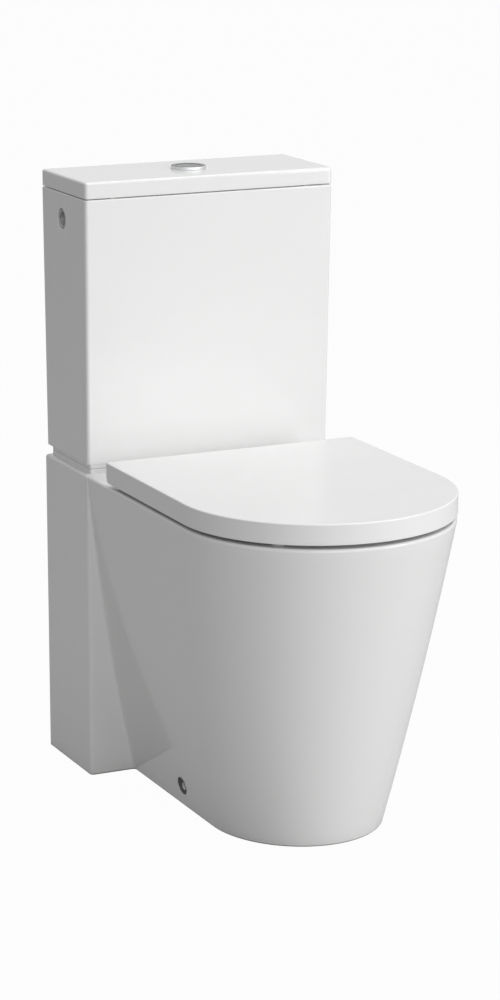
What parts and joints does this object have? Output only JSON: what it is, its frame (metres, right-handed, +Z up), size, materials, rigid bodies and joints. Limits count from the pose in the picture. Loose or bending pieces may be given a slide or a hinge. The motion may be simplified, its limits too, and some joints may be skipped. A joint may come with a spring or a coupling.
{
  "type": "close coupled toilet",
  "caption": "Close coupled toilet with a tapered, fully skirted pan, a boxy lidded cistern with a round chrome push button and a slim soft-closing seat.",
  "frame": {"origin": "on the floor under the middle of the bounding box", "axes": "+Z up, -Y out of the wall towards the front of the bowl, +Y into the wall, +X to the right seen from the front"},
  "size_m": [0.371, 0.6599, 0.8353],
  "materials": {
    "glaze": "glossy vitreous china",
    "duroplast": "smooth satin-gloss moulded seat",
    "seat_rubber": "matt light grey",
    "chrome": "polished",
    "steel": "satin",
    "brass": "turned",
    "damper_plastic": "satin",
    "grey_plastic": "satin",
    "white_plastic": "satin",
    "blue_plastic": "satin",
    "orange_plastic": "satin",
    "black_rubber": "matt",
    "foam_rubber": "matt cellular"
  },
  "bodies": {
    "base": {"pan": "glaze", "trapway": "glaze", "pan_neck": "glaze", "cistern": "glaze", "hinge_posts": "chrome", "hinge_pins": "steel", "seat_bolts": "steel", "seat_bushes": "black_rubber", "seat_nuts": "steel", "valve_base": "blue_plastic", "base_seal": "black_rubber", "valve_backnut": "blue_plastic", "valve_housing": "white_plastic", "rocker_pins": "steel", "inlet_bush": "chrome", "inlet_washer": "black_rubber", "inlet_nut": "grey_plastic", "fill_valve": "white_plastic", "lever_pin": "steel", "blanking_plug": "chrome", "plug_washer": "black_rubber", "plug_nut": "grey_plastic", "coupling_gasket": "foam_rubber", "coupling_cushions": "foam_rubber", "coupling_bolts": "brass", "coupling_seals": "black_rubber", "coupling_washers": "brass", "wing_nuts": "brass", "side_bushes": "grey_plastic", "side_screws": "chrome", "floor_brackets": "grey_plastic"},
    "seat_ring": {"seat_ring": "duroplast", "ring_buffers": "seat_rubber", "ring_dampers": "damper_plastic"},
    "seat_cover": {"seat_cover": "duroplast", "cover_buffers": "seat_rubber", "cover_dampers": "damper_plastic"},
    "cistern_lid": {"cistern_lid": "glaze", "lid_pads": "seat_rubber", "button_bezel": "chrome", "bezel_gasket": "black_rubber", "bezel_nut": "grey_plastic", "full_flush_spring": "steel", "half_flush_spring": "steel"},
    "full_button": {"full_flush_button": "chrome", "full_flush_rod": "white_plastic"},
    "half_button": {"half_flush_button": "chrome", "half_flush_rod": "white_plastic"},
    "full_rocker": {"full_flush_rocker": "orange_plastic"},
    "half_rocker": {"half_flush_rocker": "orange_plastic"},
    "piston": {"flush_piston": "blue_plastic", "piston_seal": "black_rubber", "overflow_tube": "white_plastic", "lift_head": "orange_plastic"},
    "half_slider": {"half_flush_slider": "orange_plastic", "half_flush_float": "white_plastic"},
    "float": {"float_rod": "steel", "float_cup": "white_plastic"},
    "float_lever": {"float_lever": "blue_plastic"}
  },
  "joints": [
    {"name": "seat_ring_hinge", "type": "hinge", "parent": "base", "child": "seat_ring", "pos_m": [0, 0.0963, 0.4475], "axis": [-1, 0, 0], "range_deg": [0, 96]},
    {"name": "seat_cover_hinge", "type": "hinge", "parent": "seat_ring", "child": "seat_cover", "pos_m": [0, 0.0963, 0.4475], "axis": [1, 0, 0], "range_deg": [-96, 0]},
    {"name": "lid_lift", "type": "slide", "parent": "base", "child": "cistern_lid", "axis": [0, 0, 1], "range_m": [0, 0.15]},
    {"name": "full_flush_press", "type": "slide", "parent": "cistern_lid", "child": "full_button", "axis": [0, 0, 1], "range_m": [-0.005, 0], "stiffness_N_per_m": 400, "springref_m": 0.012, "deforming": ["full_flush_spring"]},
    {"name": "half_flush_press", "type": "slide", "parent": "cistern_lid", "child": "half_button", "axis": [0, 0, 1], "range_m": [-0.005, 0], "stiffness_N_per_m": 400, "springref_m": 0.012, "deforming": ["half_flush_spring"]},
    {"name": "full_rocker_turn", "type": "hinge", "parent": "base", "child": "full_rocker", "pos_m": [0.02, 0.25, 0.7085], "axis": [0, 1, 0], "range_deg": [-23, 0]},
    {"name": "half_rocker_turn", "type": "hinge", "parent": "base", "child": "half_rocker", "pos_m": [-0.02, 0.25, 0.7085], "axis": [0, 1, 0], "range_deg": [0, 23]},
    {"name": "piston_lift", "type": "slide", "parent": "base", "child": "piston", "axis": [0, 0, 1], "range_m": [0, 0.007]},
    {"name": "half_slider_lift", "type": "slide", "parent": "base", "child": "half_slider", "axis": [0, 0, 1], "range_m": [0, 0.007]},
    {"name": "float_rise", "type": "slide", "parent": "base", "child": "float", "axis": [0, 0, 1], "range_m": [0, 0.02]},
    {"name": "float_lever_turn", "type": "hinge", "parent": "base", "child": "float_lever", "pos_m": [-0.12326, 0.26, 0.7835], "axis": [0, -1, 0], "range_deg": [0, 24]}
  ],
  "couplings": [
    {"joint": "full_rocker_turn", "follows": "full_flush_press", "rad_per_m": 76.923},
    {"joint": "piston_lift", "follows": "full_flush_press", "ratio": -1.34},
    {"joint": "half_rocker_turn", "follows": "half_flush_press", "rad_per_m": -76.923},
    {"joint": "half_slider_lift", "follows": "half_flush_press", "ratio": -1.34},
    {"joint": "float_lever_turn", "follows": "float_rise", "rad_per_m": 20}
  ]
}
